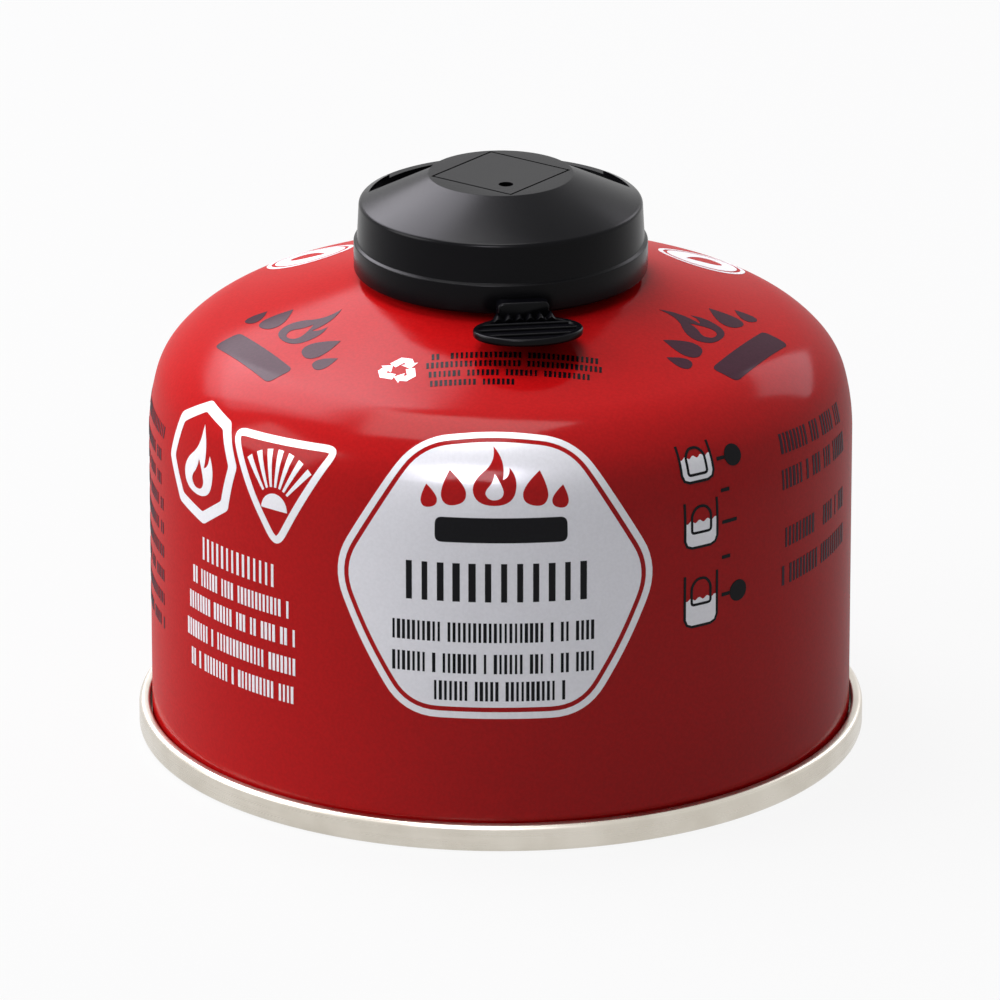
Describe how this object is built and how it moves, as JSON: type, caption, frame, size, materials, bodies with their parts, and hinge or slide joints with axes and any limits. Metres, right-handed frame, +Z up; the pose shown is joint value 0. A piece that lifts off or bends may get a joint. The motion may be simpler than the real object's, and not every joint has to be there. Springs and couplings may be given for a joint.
{
  "type": "camping gas cartridge",
  "caption": "Squat round gas cartridge with a seamed base, a domed shoulder and a threaded valve under a push-fit cap with a pull tab.",
  "frame": {"origin": "centre of the circle on which the base seam stands", "axes": "+Z up along the axis of the cartridge, -Y towards the front of the print and roughly towards the cap's pull tab"},
  "size_m": [0.09, 0.09, 0.0714],
  "materials": {
    "red_enamel": "glossy printed lacquer",
    "bare_tinplate": "bare tinplate, satin",
    "cup_tinplate": "bare tinplate, bright",
    "black_plastic": "satin moulded polyethylene",
    "pale_nylon": "natural nylon",
    "black_rubber": "matt rubber",
    "spring_steel": "bright wire"
  },
  "bodies": {
    "canister": {"canister_body": "red_enamel", "base_end": "bare_tinplate", "valve_cup": "cup_tinplate", "valve_gasket": "black_rubber", "valve_housing": "pale_nylon", "valve_spring": "spring_steel"},
    "stem": {"valve_stem": "pale_nylon"},
    "cap": {"cap": "black_plastic"}
  },
  "joints": [
    {"name": "cap_pull", "type": "slide", "parent": "canister", "child": "cap", "axis": [0, 0, 1], "range_m": [0, 0.02]},
    {"name": "stem_press", "type": "slide", "parent": "canister", "child": "stem", "axis": [0, 0, 1], "range_m": [-0.0018, 0], "stiffness_N_per_m": 400, "springref_m": 0.001, "deforming": ["valve_spring"]}
  ]
}
